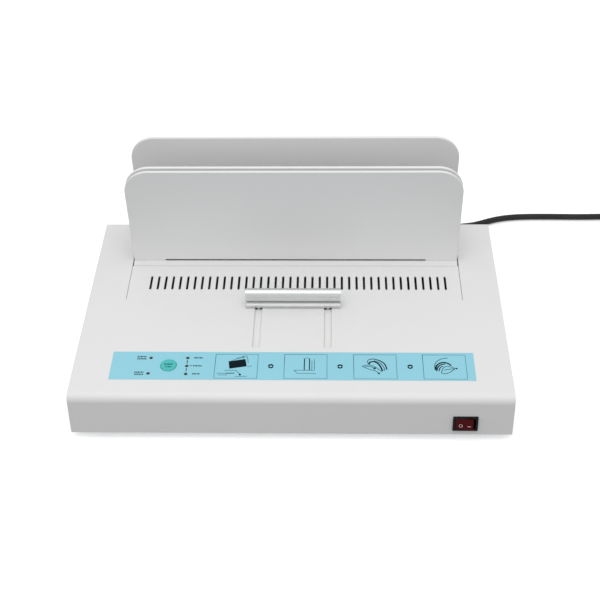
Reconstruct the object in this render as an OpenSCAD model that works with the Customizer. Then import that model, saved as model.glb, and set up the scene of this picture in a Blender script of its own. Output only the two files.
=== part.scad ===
// Thermal binding machine: a desktop machine that glues a stack of pages into a cover.
// A flat sheet-metal body carries two fixed upright plates and one sliding upright plate.
// The pages stand between them on a heated plate. The aluminium handle slides the rear
// plate forwards, which holds the document while the glue in its cover melts.
// Millimetres. X to the right, Y to the back, Z up. The origin is the middle of the footprint,
// on the surface that the machine stands on.

/* [Body] */
// Width of the body
body_w = 400; // [396:1:420]
// Depth of the body
body_d = 252; // [252:1:258]
// Height of the body without its feet
body_h = 40; // [40:1:44]
// Thickness of the sheet metal
sheet_t = 1.2; // [1:0.1:1.4]
// Outside radius of the bend between the front and the deck
front_bend_r = 8.5; // [5:0.5:9]
// Lean of the front face, from upright
front_lean = 10; // [8:0.5:11]
// Height of the rubber feet
foot_h = 8; // [6:1:12]
// Radius of a foot where it meets the body
foot_r = 10; // [9:0.5:12]

/* [Upright plates] */
// Width of the three upright plates
plate_w = 325.5; // [324:0.5:326]
// Radius of their upper corners
plate_corner_r = 25; // [15:1:35]
// Height of the two fixed plates above the deck
plate_rise = 110; // [80:5:130]
// Thickness of the two fixed plates
plate_t = 3.2; // [3:0.1:3.4]
// Air gap between the two fixed plates
plate_gap = 3.7; // [3.3:0.1:3.9]
// Thickness of the sliding clamp plate
clamp_t = 3.6; // [3.2:0.1:3.7]
// How much higher the clamp plate stands than the fixed ones
clamp_extra = 2.3; // [0:0.1:5]

/* [Clamp slide] */
// Travel of the clamp from open to shut
clamp_travel = 43; // [30:1:43]
// Radius of the two guide rods
rod_r = 3; // [2.5:0.1:3]
// Radial clearance of the slide bushings on the rods
bush_clear = 0.05; // [0.02:0.01:0.08]
// Distance of each guide rod from the middle
rod_x = 156; // [156:0.1:156.5]

/* [Handle] */
// Length of the handle
handle_w = 91; // [80:1:120]
// Distance of each handle post from the middle
post_x = 33.4; // [25:0.1:38]
// Radius of a handle post
post_r = 3; // [2.5:0.1:3.2]
// Width of the two slots that the posts slide in
slot_w = 7.2; // [6.6:0.1:8]

/* [Heater] */
// Length of the hot plate, for the spine of an A4 document
hot_plate_l = 295.8; // [280:0.2:296]
// Width of the hot plate
hot_plate_w = 37; // [32:1:37]
// Thickness of the hot plate
hot_plate_t = 3.8; // [3:0.1:3.8]

/* [Vents] */
// Number of vents in the row
vent_n = 41; // [20:1:42]
// Width of a vent
vent_w = 2.3; // [1.5:0.1:3]
// Length of a vent
vent_l = 20; // [10:1:20]
// Distance from one vent to the next
vent_pitch = 7.26; // [7:0.02:7.3]
// Offset of the row from the middle
vent_mid_x = 3.4; // [0:0.1:4]

/* [Controls] */
// Width of the instruction label
label_w = 332; // [320:1:340]
// Depth of the instruction label
label_d = 35; // [34:0.5:38]
// Thickness of the label
label_t = 0.3; // [0.2:0.05:0.4]
// Radius of the start button
button_r = 7.3; // [6:0.1:8]
// Travel of the start button
button_travel = 0.8; // [0.4:0.1:0.8]
// Radius of a light
led_r = 1.5; // [1:0.1:1.6]

/* [Power switch] */
// Place of the switch along the front
switch_x = 157; // [150:1:165]
// Height of the middle of the switch above the body's lower edge
switch_rise = 12.8; // [12.6:0.1:16]
// Width of the switch bezel
bezel_w = 22.4; // [22.4:0.1:24]
// Height of the switch bezel
bezel_h = 15; // [15:0.1:17]
// Angle that the rocker turns through
rocker_swing = 16; // [10:1:16]

/* [Mains cord] */
// Diameter of the cord
cord_d = 6.6; // [6:0.1:7]
// Place of the cord's outlet along the rear wall
outlet_x = 174; // [174:0.5:180]
// Radius of the coil's outermost turns, to the middle of the cord
coil_r = 44; // [42:1:46]
// Radial distance that the coil's turns take up
coil_band = 17.4; // [14:0.2:18]

/* [Hidden] */
$fn = 64;

// Colours
cover_white = [0.89, 0.89, 0.88];
plate_white = [0.80, 0.80, 0.80];
plain_steel = [0.70, 0.71, 0.72];
black_plastic = [0.06, 0.06, 0.06];
board_green = [0.10, 0.35, 0.20];

// Heights and depths of the body
gap = 0.1;                          // paper-thin gap between parts that are only pushed together
deck_z = foot_h + body_h;
deck_under = deck_z - sheet_t;
floor_top = foot_h + sheet_t;
front_y = -body_d / 2;
rear_y = body_d / 2;
rear_in = rear_y - sheet_t;
side_in = body_w / 2 - sheet_t;
foot_x = body_w / 2 - 30;
foot_y = rear_y - 28;
screw_r = 1.5;
screw_clear = 0.1;

// The trough that the documents stand in
trough_x = plate_w / 2 + 1.25;
lip_y = 60;                         // crease where the deck rises into the lip
lip_end = 67.2;
lip_rise = 0.7;
slit_front = 9.5;                   // the cover is slit from here to the lip, beside the trough
slit_w = 0.45;
slit_in = 0.45;                     // the slits' middles lie this far inside the trough's ends
crease_w = 0.9;
crease_deep = 0.6;
end_plate_t = 1;

// The upright plates, by their front faces
guard_y = lip_end + 0.2;
inner_y = guard_y + plate_t + plate_gap;
slot_y = inner_y + plate_t;         // front of the document slot
clamp_y = slot_y + clamp_travel + 0.3;
plate_top = deck_z + plate_rise;
guard_low = deck_z + 1.6;            // lower edge of the front plate between its tabs
tab_in = 131;                       // the tabs start here, measured from the middle
tab_step = 149;                     // and are shorter from here, to clear the carriage
tab_low = 24;
tab_short = 30;
plate_low = 33.3;                   // lower edge of the two plates that reach the hot plate
plate_screw_x = [136, 145];
plate_screw_z = 27.5;
plate_screw_head_t = 1.6;
plate_screw_tip = 79.9;

// Heater stack, upwards
pan_x = 149.5;
pan_t = 1.2;
pan_y1 = 119.9;
pan_z = 22;
pan_h = 9.5;
board_z = pan_z + pan_t;
board_t = 4;
element_z = board_z + board_t;
element_t = 1.5;
hot_z = element_z + element_t;
heater_mid_y = (slot_y + pan_y1) / 2;
standoff_x = [-130, 0, 130];
standoff_y = [86, 112];
standoff_r = 3.5;

// Clamp carriage
rod_z = 16;
rod_front = -60;
arm_w = 10;
arm_low = 11.5;
arm_h = 15.5;
arm_front = -6;
bush_l = 10;
bush_r = rod_r + 1.5;
bar_d = 14;
bar_z = 13;
bar_h = 8;
leg_w = 10;
leg_low = arm_low;
leg_screw_z = 23.5;
leg_screw_tip = 108;
post_y = 1;
post_flange_r = 5;
post_flange_z = 43.5;
post_flange_t = 1.5;
shutter_w = 10;
shutter_front = -64;
shutter_t = 0.8;
handle_z = deck_z + 1;
slot_front = -57.5;
slot_rear = 5.5;

// Handle section, as places in the side view
bead_r = 4.8;
bead_y = 2.2;
bead_z = 14.2;
web_y = -1.9;
web_d = 8.2;
flange_y = -3.2;
flange_d = 10.6;
flange_t = 3.3;
groove_r = 1.1;
groove_z = 6.6;

// Controls
label_x = 1;
label_y = -80;
vent_y = 34;
button_x = -112.2;
button_y = -79.9;
status_led_at = [[-129.3, -70.3], [-129.8, -90]];
timer_led_at = [[-95.4, -70.2], [-95.4, -80.4], [-95.4, -90.5]];
ctrl_x = -112;
ctrl_w = 60;
ctrl_d = 48;
ctrl_z = 38;
circuit_t = 1.6;
button_flange_r = 8.8;
button_flange_z = deck_under - 0.1 - 1.5;

// Power electronics
power_x = 89;
power_y = -88;
power_w = 98;
power_d = 60;
power_z = 16;
term_x = 184;
term_w = 24;
term_y = 92;
term_d = 20;
term_h = 18;

// Rocker switch, in its own frame: x across, y inwards, origin on the pivot
switch_z = foot_h + switch_rise;
bezel_t = 2;
switch_w = 19.8;
switch_h = 13.2;
switch_deep = 19;
cavity_w = 18.3;
cavity_h = 11.5;
rocker_half = 7.9;
rocker_pivot_y = front_y + 4.5;
rocker_h = 11.2;
rocker_pin_r = 1.25;
rocker_outline = [[-rocker_half, -7.6], [0, -6.7], [rocker_half, -7.6], [rocker_half, -2],
                  [4.5, 4], [-4.5, 4], [-rocker_half, -2]];
tab_x = [151, 157, 163];
wire_x = [175, 181, 187];
wire_step = 3;                      // the wires lie this far above each other
tab_l = 8;
wire_r = 1.1;

// Mains cord: its route from inside the outlet to the coil, along the table
outlet_z = foot_h + 14;
cord_r = cord_d / 2;
boot_l = 21;
coil_at = [392, 152];
coil_layers_h = 13.4;
lead_route = [
  [174, 112, 22], [174, 126, 22], [174, 140, 22], [174.2, 148, 21.3], [175.3, 156, 18.8],
  [177.8, 163.2, 15], [181.6, 169.4, 10.8], [186.8, 174.8, 7], [193.6, 179.4, 4.4],
  [202.4, 183.8, 3.4], [212.4, 188, 3.3], [224, 191.8, 3.3], [238, 194.3, 3.3],
  [254, 195.4, 3.3], [272, 195.6, 3.3], [292, 195.4, 3.3], [312, 195.2, 3.3],
  [334, 195.6, 3.3], [354, 196, 3.3], [375, 196, 3.3]];
tail_route = [
  [436, 138, 9.8], [436, 127, 8.4], [435.2, 115, 6], [433, 103, 4.2], [429, 91.5, 3.5],
  [423, 80, 3.9], [416, 69.5, 5.8], [408, 60.5, 9], [400, 53, 12.6], [391.5, 46.4, 15.6],
  [383.5, 41, 17.6], [376, 36.6, 18.5]];
plug_at = [376, 36.6, 18.5];
plug_turn = 120;                    // the plug points this way, clockwise from straight ahead
plug_r = 18.4;
pin_r = 2.4;
pin_l = 19;
pin_pitch = 19;

// ---------- shapes that are used more than once ----------

// An outline in the Y-Z plane, drawn out along X about the middle.
module along_x(w) {
  translate([-w / 2, 0, 0]) rotate([90, 0, 90]) linear_extrude(w) children();
}

// An outline in the X-Z plane, made into a plate from front face y to y + t.
module upright(y, t) {
  translate([0, y + t, 0]) rotate([90, 0, 0]) linear_extrude(t) children();
}

// A block given by two opposite corners.
module block(low, high) {
  translate(low) cube(high - low);
}

// A cylinder along Y from y0 to y1.
module rod_y(r, x, z, y0, y1) {
  translate([x, y0, z]) rotate([-90, 0, 0]) cylinder(r = r, h = y1 - y0);
}

// A round-ended slot outline, running along Y between y0 and y1.
module slot_outline(w, y0, y1) {
  translate([-w / 2, y0 + w / 2]) square([w, y1 - y0 - w]);
  translate([0, y0 + w / 2]) circle(d = w);
  translate([0, y1 - w / 2]) circle(d = w);
}

// Board with its four standoffs' places.
function corners(x, y, w, d, inset) =
  [for (sx = [-1, 1], sy = [-1, 1]) [x + sx * (w / 2 - inset), y + sy * (d / 2 - inset)]];

// How far back the leaning front face lies at height z, let in by inset.
function face_y(z, inset) = front_y + (z - foot_h) * tan(front_lean) + inset / cos(front_lean);

// A place behind the face, deep in from it and up along it from the switch's middle: [y, z].
function face_point(deep, up) = [
  face_y(switch_z, 0) + deep * cos(front_lean) + up * sin(front_lean),
  switch_z - deep * sin(front_lean) + up * cos(front_lean)];

// Moves what is drawn on an upright front onto the leaning face, at the switch's height.
module on_face() {
  translate([0, face_y(switch_z, 0), switch_z]) rotate([-front_lean, 0, 0])
    translate([0, -front_y, -switch_z]) children();
}

// ---------- body ----------

// The side view of the cover: a leaning front, a round bend and a flat deck.
module cover_outline(inset) {
  r = front_bend_r - inset;
  bend_z = deck_z - front_bend_r;
  bend_y = face_y(bend_z, front_bend_r);
  low_z = foot_h - inset;
  rear = rear_y + (inset > 0 ? 1 : 0);
  polygon([[face_y(low_z, inset), low_z],
           [bend_y - r * cos(front_lean), bend_z + r * sin(front_lean)],
           [bend_y, bend_z + r], [rear, bend_z + r], [rear, low_z]]);
  translate([bend_y, bend_z]) circle(r = r);
}

module deck_cut() {
  translate([0, 0, deck_under - 1]) linear_extrude(sheet_t + 2) children();
}

module vents() {
  deck_cut() for (i = [0 : vent_n - 1])
    translate([vent_mid_x + (i - (vent_n - 1) / 2) * vent_pitch, 0])
      slot_outline(vent_w, vent_y - vent_l / 2, vent_y + vent_l / 2);
}

module top_cover() {
  color(cover_white) {
    difference() {
      along_x(body_w) cover_outline(0);
      along_x(2 * side_in) cover_outline(sheet_t);
      deck_cut() translate([-trough_x, lip_y]) square([2 * trough_x, rear_y]);
      for (s = [-1, 1]) {
        deck_cut() translate([s * (trough_x - slit_in) - slit_w / 2, slit_front])
          square([slit_w, lip_y - slit_front + 1]);
        deck_cut() translate([s * post_x, 0]) slot_outline(slot_w, slot_front, slot_rear);
        for (y = [-90, 90])
          translate([s * (side_in - 1), y, floor_top + 6]) rotate([0, s * 90, 0])
            cylinder(r = screw_r + screw_clear, h = sheet_t + 3);
      }
      vents();
      translate([-trough_x, lip_y - crease_w, deck_z - crease_deep])
        cube([2 * trough_x, crease_w, 1]);
      translate([button_x, button_y, deck_under - 1]) cylinder(r = button_r + 0.3, h = 4);
      for (p = concat(status_led_at, timer_led_at))
        translate([p[0], p[1], deck_under - 1]) cylinder(r = led_r + 0.2, h = 4);
      on_face() block(
        [switch_x - switch_w / 2 - gap, front_y - 1, switch_z - switch_h / 2 - gap],
        [switch_x + switch_w / 2 + gap, front_y + 3, switch_z + switch_h / 2 + gap]);
    }
    along_x(plate_w) polygon([[lip_y, deck_under], [lip_end, deck_under + lip_rise],
                              [lip_end, deck_z + lip_rise], [lip_y, deck_z]]);
  }
}

module chassis() {
  w = side_in - gap;
  flange_h = 14;
  color(plain_steel) difference() {
    union() {
      block([-w, face_y(floor_top, sheet_t) + gap, foot_h], [w, rear_y, floor_top]);
      block([-w, rear_in, foot_h], [w, rear_y, deck_under - gap]);
      for (s = [-1, 1])
        block([s > 0 ? w - sheet_t : -w, face_y(foot_h + flange_h, sheet_t) + gap, foot_h],
              [s > 0 ? w : -w + sheet_t, rear_in, foot_h + flange_h]);
    }
    for (sx = [-1, 1], sy = [-1, 1])
      translate([sx * foot_x, sy * foot_y, foot_h - 1])
        cylinder(r = screw_r + screw_clear, h = 4);
    for (s = [-1, 1]) {
      rod_y(screw_r + screw_clear, s * rod_x, rod_z, rear_in - 1, rear_y + 1);
      for (y = [-90, 90])
        translate([s * (side_in - 3), y, floor_top + 6]) rotate([0, s * 90, 0])
          cylinder(r = screw_r + screw_clear, h = 5);
    }
    rod_y(cord_r + 2.9, outlet_x, outlet_z, rear_in - 1, rear_y + 1);
    for (i = [-4 : 4])
      translate([i * 24, 99, foot_h - 1]) linear_extrude(4) slot_outline(3, -12, 12);
  }
}

module foot(sx, sy) {
  color(black_plastic) translate([sx * foot_x, sy * foot_y, 0]) difference() {
    cylinder(r1 = foot_r - 1.5, r2 = foot_r, h = foot_h);
    translate([0, 0, -1]) cylinder(r = screw_r + screw_clear, h = foot_h + 2);
    translate([0, 0, -1]) cylinder(r = 4, h = 4);
  }
}

module foot_screws() {
  color("silver") for (sx = [-1, 1], sy = [-1, 1]) translate([sx * foot_x, sy * foot_y, 0]) {
    translate([0, 0, 1.2]) cylinder(r = 3.2, h = 1.8);
    translate([0, 0, 3]) cylinder(r = screw_r, h = floor_top + 2.5 - 3);
  }
}

module cover_screws() {
  color("silver") for (s = [-1, 1], y = [-90, 90])
    translate([s * body_w / 2, y, floor_top + 6]) rotate([0, s * 90, 0]) {
      cylinder(r = 3.2, h = 1.2);
      translate([0, 0, -6]) cylinder(r = screw_r, h = 6);
    }
}

module trough_ends() {
  color(plain_steel) for (s = [-1, 1])
    translate([s > 0 ? trough_x - 0.2 : -trough_x + 0.2 - end_plate_t, lip_y, floor_top])
      cube([end_plate_t, rear_in - gap - lip_y, deck_under - floor_top]);
}

// ---------- fixed upright plates ----------

// A plate's front view: round upper corners, straight down to z = low.
module plate_outline(low, top) {
  r = plate_corner_r;
  translate([-plate_w / 2, low]) square([plate_w, top - r - low]);
  translate([-plate_w / 2 + r, top - r - 1]) square([plate_w - 2 * r, r + 1]);
  for (s = [-1, 1]) translate([s * (plate_w / 2 - r), top - r]) circle(r = r);
}

// The two tabs that go down to the heater pan on each side.
module plate_tabs(top) {
  for (s = [-1, 1]) {
    translate([s > 0 ? tab_in : -tab_step, tab_low])
      square([tab_step - tab_in, top - tab_low]);
    translate([s > 0 ? tab_in : -plate_w / 2, tab_short])
      square([plate_w / 2 - tab_in, top - tab_short]);
  }
}

module plate_screw_holes() {
  for (s = [-1, 1], x = plate_screw_x)
    rod_y(screw_r + screw_clear, s * x, plate_screw_z, guard_y - 3, plate_screw_tip + 3);
}

module front_guard_plate() {
  color(plate_white) difference() {
    upright(guard_y, plate_t) {
      plate_outline(guard_low, plate_top);
      plate_tabs(guard_low + 1);
    }
    plate_screw_holes();
  }
}

module inner_plate() {
  color(plate_white) difference() {
    upright(inner_y, plate_t) {
      plate_outline(plate_low, plate_top);
      plate_tabs(plate_low + 1);
    }
    plate_screw_holes();
  }
}

module plate_spacers() {
  color("silver") for (s = [-1, 1], x = plate_screw_x) difference() {
    rod_y(3.2, s * x, plate_screw_z, guard_y + plate_t, inner_y);
    rod_y(screw_r + screw_clear, s * x, plate_screw_z, guard_y, inner_y + 1);
  }
}

module plate_screws() {
  color("silver") for (s = [-1, 1], x = plate_screw_x) {
    rod_y(3, s * x, plate_screw_z, guard_y - plate_screw_head_t, guard_y);
    rod_y(screw_r, s * x, plate_screw_z, guard_y, plate_screw_tip);
  }
}

// ---------- heater ----------

module heater_pan() {
  color(plain_steel) difference() {
    block([-pan_x, slot_y, pan_z], [pan_x, pan_y1, pan_z + pan_h]);
    block([-pan_x + pan_t, slot_y + pan_t, pan_z + pan_t],
          [pan_x - pan_t, pan_y1 - pan_t, pan_z + pan_h + 1]);
    plate_screw_holes();
  }
}

module heater_layer(w, d, z, t) {
  translate([-w / 2, heater_mid_y - d / 2, z]) cube([w, d, t]);
}

module insulation_board() {
  color("linen") heater_layer(hot_plate_l - 1, hot_plate_w, board_z, board_t);
}

module heating_element() {
  color("darkgoldenrod") heater_layer(hot_plate_l - 6, hot_plate_w - 4, element_z, element_t);
}

module hot_plate() {
  color("silver") heater_layer(hot_plate_l, hot_plate_w, hot_z, hot_plate_t);
}

module heater_standoffs() {
  color("silver") for (x = standoff_x, y = standoff_y)
    translate([x, y, floor_top]) cylinder(r = standoff_r, h = pan_z - floor_top);
}

module thermostat() {
  color("dimgray") translate([60, 99, pan_z - 7]) {
    cylinder(r = 8, h = 7);
    translate([-12, -3, 5.8]) cube([24, 6, 1.2]);
  }
}

module thermal_fuse() {
  color("ivory") translate([-70, 99, 0]) {
    block([-9, -3, pan_z - 6], [9, 3, pan_z]);
    for (s = [-1, 1]) translate([s * 9, 0, pan_z - 3]) rotate([0, s * 90, 0])
      cylinder(r = 0.6, h = 8);
  }
}

// ---------- slide ----------

module guide_rod(s) {
  color("silver") difference() {
    rod_y(rod_r, s * rod_x, rod_z, rod_front, rear_in);
    rod_y(screw_r + screw_clear, s * rod_x, rod_z, rear_in - 9, rear_in + 1);
    rod_y(screw_r + screw_clear, s * rod_x, rod_z, rod_front - 1, rod_front + 9);
  }
}

module rod_brackets() {
  color(plain_steel) for (s = [-1, 1]) difference() {
    union() {
      block([s * rod_x - 7, rod_front - 15, floor_top], [s * rod_x + 7, rod_front, floor_top + 1.2]);
      block([s * rod_x - 7, rod_front - 1.2, floor_top], [s * rod_x + 7, rod_front, rod_z + 7]);
    }
    rod_y(screw_r + screw_clear, s * rod_x, rod_z, rod_front - 3, rod_front + 1);
  }
}

module rod_screws() {
  color("silver") for (s = [-1, 1]) {
    rod_y(3.2, s * rod_x, rod_z, rear_y, rear_y + 1.4);
    rod_y(screw_r, s * rod_x, rod_z, rear_in - 8, rear_y);
    rod_y(3, s * rod_x, rod_z, rod_front - 2.8, rod_front - 1.2);
    rod_y(screw_r, s * rod_x, rod_z, rod_front - 1.2, rod_front + 8);
  }
}

module carriage_arm(s) {
  color("silver") difference() {
    block([s * rod_x - arm_w / 2, arm_front, arm_low],
          [s * rod_x + arm_w / 2, clamp_y, arm_low + arm_h]);
    rod_y(rod_r + 0.4, s * rod_x, rod_z, arm_front - 1, clamp_y + 1);
    rod_y(bush_r + 0.02, s * rod_x, rod_z, arm_front - 1, arm_front + bush_l);
    rod_y(bush_r + 0.02, s * rod_x, rod_z, clamp_y - bush_l, clamp_y + 1);
    rod_y(screw_r + screw_clear, s * rod_x, leg_screw_z, leg_screw_tip - 1, clamp_y + 1);
  }
}

module carriage_bar() {
  bar_x = rod_x - arm_w / 2;
  color("silver") difference() {
    block([-bar_x, arm_front, bar_z], [bar_x, arm_front + bar_d, bar_z + bar_h]);
    for (s = [-1, 1]) translate([s * post_x, post_y, bar_z - 1])
      cylinder(r = screw_r + screw_clear, h = bar_h + 2);
  }
}

module slide_bushings() {
  color("goldenrod") for (s = [-1, 1], y = [arm_front, clamp_y - bush_l]) difference() {
    rod_y(bush_r, s * rod_x, rod_z, y, y + bush_l);
    rod_y(rod_r + bush_clear, s * rod_x, rod_z, y - 1, y + bush_l + 1);
  }
}

module handle_posts() {
  color("silver") for (s = [-1, 1]) translate([s * post_x, post_y, 0]) difference() {
    union() {
      translate([0, 0, bar_z + bar_h]) cylinder(r = post_r, h = handle_z - bar_z - bar_h);
      translate([0, 0, post_flange_z]) cylinder(r = post_flange_r, h = post_flange_t);
    }
    translate([0, 0, bar_z]) cylinder(r = screw_r + screw_clear, h = handle_z);
  }
}

module handle_outline() {
  translate([bead_y, bead_z]) circle(r = bead_r);
  translate([web_y, 0]) square([web_d, bead_z]);
  translate([flange_y, 0]) square([flange_d, flange_t]);
}

module handle() {
  color("gainsboro") difference() {
    translate([0, 0, handle_z]) along_x(handle_w) difference() {
      handle_outline();
      translate([web_y, groove_z]) circle(r = groove_r);
      translate([web_y + web_d, groove_z]) circle(r = groove_r);
    }
    for (s = [-1, 1]) translate([s * post_x, post_y, handle_z - 1])
      cylinder(r = screw_r + screw_clear, h = 13);
  }
}

module handle_screws() {
  color("silver") for (s = [-1, 1]) translate([s * post_x, post_y, 0]) {
    translate([0, 0, bar_z - 1.6]) cylinder(r = 3, h = 1.6);
    translate([0, 0, bar_z]) cylinder(r = screw_r, h = handle_z + 11 - bar_z);
  }
}

module slot_shutter(s) {
  color("white") block([s * post_x - shutter_w / 2, shutter_front, post_flange_z + post_flange_t],
                       [s * post_x + shutter_w / 2, post_y - post_r,
                        post_flange_z + post_flange_t + shutter_t]);
}

module leg_screw_cone(clear) {
  for (s = [-1, 1]) {
    rod_y(screw_r + clear, s * rod_x, leg_screw_z, leg_screw_tip, clamp_y + clamp_t);
    translate([s * rod_x, clamp_y + clamp_t - 1.6, leg_screw_z]) rotate([-90, 0, 0])
      cylinder(r1 = screw_r + clear, r2 = 3 + clear, h = 1.6);
  }
}

module clamp_plate() {
  color(plate_white) difference() {
    upright(clamp_y, clamp_t) {
      plate_outline(plate_low, plate_top + clamp_extra);
      for (s = [-1, 1])
        translate([s * rod_x - leg_w / 2, leg_low]) square([leg_w, plate_low + 1 - leg_low]);
    }
    for (s = [-1, 1])
      rod_y(rod_r + 0.4, s * rod_x, rod_z, clamp_y - 1, clamp_y + clamp_t + 1);
    leg_screw_cone(0.05);
  }
}

module clamp_plate_screws() {
  color("silver") leg_screw_cone(0);
}

// ---------- electronics ----------

module circuit(x, y, w, d, z) {
  translate([x - w / 2, y - d / 2, z]) cube([w, d, circuit_t]);
}

module control_board() {
  color(board_green) circuit(ctrl_x, label_y, ctrl_w, ctrl_d, ctrl_z);
}

module board_standoffs() {
  color("silver") for (p = corners(ctrl_x, label_y, ctrl_w, ctrl_d, 4))
    translate([p[0], p[1], ctrl_z + circuit_t])
      cylinder(r = 2.5, h = deck_under - ctrl_z - circuit_t);
}

module tact_switch() {
  stem_top = button_flange_z - button_travel - 0.1;
  color("dimgray") translate([button_x, button_y, ctrl_z + circuit_t]) {
    translate([-3, -3, 0]) cube([6, 6, 3.4]);
    cylinder(r = 1.7, h = stem_top - ctrl_z - circuit_t);
  }
}

module leds(places, shade) {
  lens_z = deck_z - 0.9;
  color(shade) for (p = places) translate([p[0], p[1], 0]) {
    translate([0, 0, ctrl_z + circuit_t]) cylinder(r = led_r, h = lens_z - ctrl_z - circuit_t);
    translate([0, 0, lens_z]) sphere(r = led_r);
  }
}

module status_leds() {
  leds(status_led_at, "firebrick");
}

module timer_leds() {
  leds(timer_led_at, "darkgreen");
}

module buzzer() {
  color(black_plastic) translate([ctrl_x - 14, label_y, ctrl_z - 7.5]) difference() {
    cylinder(r = 6, h = 7.5);
    translate([0, 0, -1]) cylinder(r = 1, h = 3);
  }
}

module power_board() {
  color(board_green) circuit(power_x, power_y, power_w, power_d, power_z);
}

module power_standoffs() {
  color("silver") for (p = corners(power_x, power_y, power_w, power_d, 5))
    translate([p[0], p[1], floor_top]) cylinder(r = 2.5, h = power_z - floor_top);
}

module on_power_board(x, y, size) {
  translate([power_x + x, power_y + y, power_z + circuit_t]) translate([-size[0] / 2, -size[1] / 2, 0])
    cube(size);
}

module relay() {
  color("royalblue") on_power_board(30, 14, [19, 15.5, 15.5]);
}

module filter_capacitor() {
  color("goldenrod") on_power_board(32, -14, [26, 9, 17]);
}

module transformer() {
  color("dimgray") on_power_board(-26, 0, [30, 25, 12]);
  color("gold") on_power_board(-26, 0, [20, 36, 20]);
}

module terminal_block() {
  color("ivory") difference() {
    block([term_x - term_w / 2, term_y, floor_top],
          [term_x + term_w / 2, term_y + term_d, floor_top + term_h]);
    for (i = [-1, 1]) translate([term_x + i * 6.5, term_y + term_d / 2, floor_top + term_h - 4])
      cylinder(r = 2, h = 5);
  }
}

module mains_wires() {
  color("brown") for (i = [0 : 2]) {
    at = face_point(switch_deep + tab_l + wire_r, (i - 1) * wire_step);
    translate([tab_x[i], at[0], at[1]]) rotate([0, 90, 0])
      cylinder(r = wire_r, h = wire_x[i] - tab_x[i]);
    translate([wire_x[i], at[0], at[1]]) sphere(r = wire_r);
    rod_y(wire_r, wire_x[i], at[1], at[0], term_y);
  }
}

// ---------- controls ----------

module control_label() {
  color([0.58, 0.81, 0.86]) difference() {
    translate([label_x - label_w / 2, label_y - label_d / 2, deck_z])
      cube([label_w, label_d, label_t]);
    translate([button_x, button_y, deck_z - 1]) cylinder(r = button_r + 0.3, h = 3);
    for (p = concat(status_led_at, timer_led_at))
      translate([p[0], p[1], deck_z - 1]) cylinder(r = led_r + 0.2, h = 3);
  }
}

module start_button() {
  top_z = deck_z + label_t + 0.6;
  color("mediumseagreen") translate([button_x, button_y, 0]) {
    translate([0, 0, button_flange_z]) cylinder(r = button_flange_r, h = 1.5);
    translate([0, 0, button_flange_z]) cylinder(r = button_r, h = top_z - button_flange_z);
  }
}

module switch_housing() {
  color(black_plastic) on_face() translate([switch_x, 0, switch_z]) difference() {
    union() {
      block([-bezel_w / 2, front_y - bezel_t, -bezel_h / 2], [bezel_w / 2, front_y, bezel_h / 2]);
      block([-switch_w / 2, front_y, -switch_h / 2],
            [switch_w / 2, front_y + switch_deep, switch_h / 2]);
    }
    block([-cavity_w / 2, front_y - bezel_t - 1, -cavity_h / 2],
          [cavity_w / 2, front_y + switch_deep - 2, cavity_h / 2]);
    translate([0, rocker_pivot_y, -switch_h])
      cylinder(r = rocker_pin_r + 0.05, h = 2 * switch_h);
  }
}

module power_rocker() {
  pin_h = switch_h - 0.6;
  color("firebrick") on_face() translate([switch_x, rocker_pivot_y, switch_z])
    rotate([0, 0, -rocker_swing / 2]) {
      translate([0, 0, -rocker_h / 2]) linear_extrude(rocker_h) polygon(rocker_outline);
      translate([0, 0, -pin_h / 2]) cylinder(r = rocker_pin_r, h = pin_h);
    }
}

module switch_terminals() {
  y = front_y + switch_deep;
  color("silver") on_face() for (x = tab_x)
    block([x - 0.4, y, switch_z - 3.1], [x + 0.4, y + tab_l, switch_z + 3.1]);
}

// ---------- mains cord ----------

// A tapered boot with a collar on each side of the rear wall.
module strain_relief() {
  hole = cord_r + 0.2;
  neck = cord_r + 2.8;
  tip = cord_r + 1.2;
  color(black_plastic) translate([outlet_x, rear_y, outlet_z]) rotate([-90, 0, 0])
    rotate_extrude() polygon([[hole, -6], [neck + 2, -6], [neck + 2, -sheet_t], [neck, -sheet_t],
                              [neck, 0], [neck + 2.6, 0], [neck + 2.6, 2.5], [neck, 2.5],
                              [tip, boot_l], [hole, boot_l]]);
}

function unit(v) = v / norm(v);

// The direction of the route at each of its points.
function heading(route, i) =
  unit(route[min(i + 1, len(route) - 1)] - route[max(i - 1, 0)]);

// Points between the hand-set ones, on a smooth curve through them.
function between(route, i, t) =
  let (a = route[max(i - 1, 0)], b = route[i], c = route[i + 1],
       d = route[min(i + 2, len(route) - 1)])
  0.5 * (2 * b + (c - a) * t + (2 * a - 5 * b + 4 * c - d) * t * t
         + (3 * b - a - 3 * c + d) * t * t * t);
function smooth(route) =
  concat([for (i = [0 : len(route) - 2], t = [0, 0.5]) between(route, i, t)],
         [route[len(route) - 1]]);

// A round tube along a route: one ring of corners at each point, closed at both ends.
module tube(route, r, sides) {
  n = len(route);
  rings = [for (i = [0 : n - 1])
    let (h = heading(route, i), across = unit(cross(h, [0, 0, 1])), up = cross(across, h))
      for (k = [0 : sides - 1])
        route[i] + r * (cos(k * 360 / sides) * across + sin(k * 360 / sides) * up)];
  walls = [for (i = [0 : n - 2], k = [0 : sides - 1])
    let (a = i * sides + k, b = i * sides + (k + 1) % sides)
      [a, b, b + sides, a + sides]];
  start_cap = [[for (k = [sides - 1 : -1 : 0]) k]];
  end_cap = [[for (k = [0 : sides - 1]) (n - 1) * sides + k]];
  polyhedron(rings, concat(walls, start_cap, end_cap));
}

module cord_lead() {
  color(black_plastic) tube(smooth(lead_route), cord_r, 12);
}

module cord_tail() {
  color(black_plastic) tube(smooth(tail_route), cord_r, 12);
}

module cord_coil() {
  color(black_plastic) translate([coil_at[0], coil_at[1], 0]) difference() {
    cylinder(r = coil_r + cord_r, h = coil_layers_h);
    translate([0, 0, -1]) cylinder(r = coil_r - coil_band - cord_r, h = coil_layers_h + 2);
  }
}

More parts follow.
